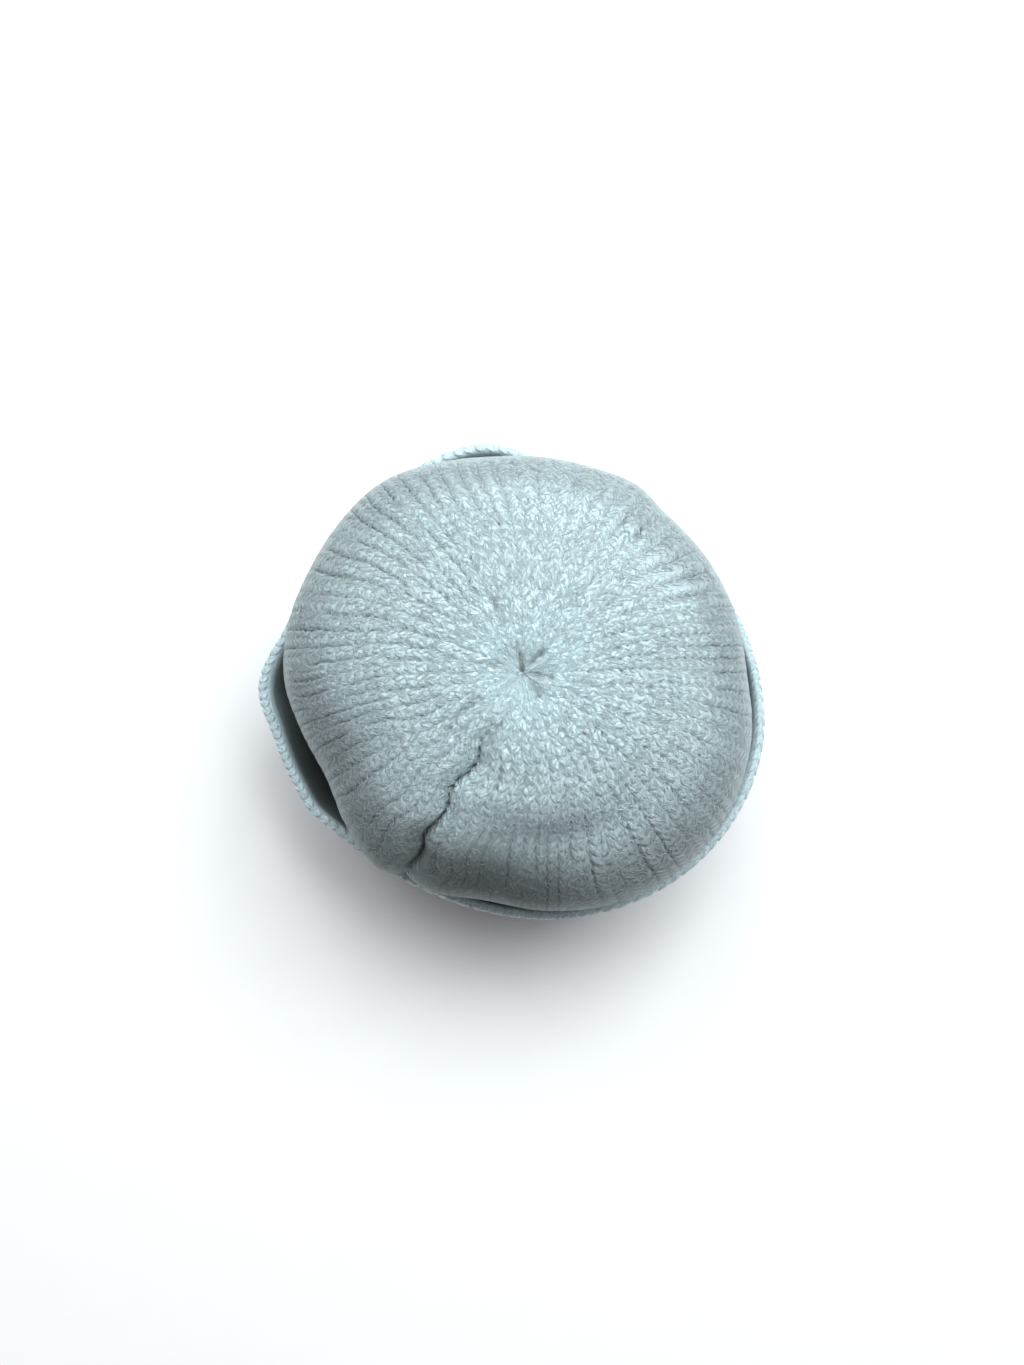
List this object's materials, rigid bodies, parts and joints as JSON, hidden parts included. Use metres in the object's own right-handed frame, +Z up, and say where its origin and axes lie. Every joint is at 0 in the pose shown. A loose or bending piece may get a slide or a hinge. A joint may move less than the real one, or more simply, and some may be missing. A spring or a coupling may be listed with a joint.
{
  "type": "beanie",
  "caption": "Ribbed wool beanie in pale ice blue with a turned-up cuff, standing crown up with a deep pleat in its crown.",
  "frame": {"origin": "middle of the hat's box, on the surface that the folded edge of its cuff stands on", "axes": "+Z up through the drawn-in centre of the crown, +X along the longer side of the plan, -Y on the side of the crown's deep pleat"},
  "size_m": [0.1537, 0.146, 0.1172],
  "materials": {
    "crown_wool": "matte brushed wool, ribbed",
    "cuff_wool": "matte brushed wool, ribbed",
    "closing_wool": "matte wool yarn"
  },
  "bodies": {
    "root": {"crown": "crown_wool", "cuff": "cuff_wool", "closing_yarn": "closing_wool"}
  },
  "joints": []
}
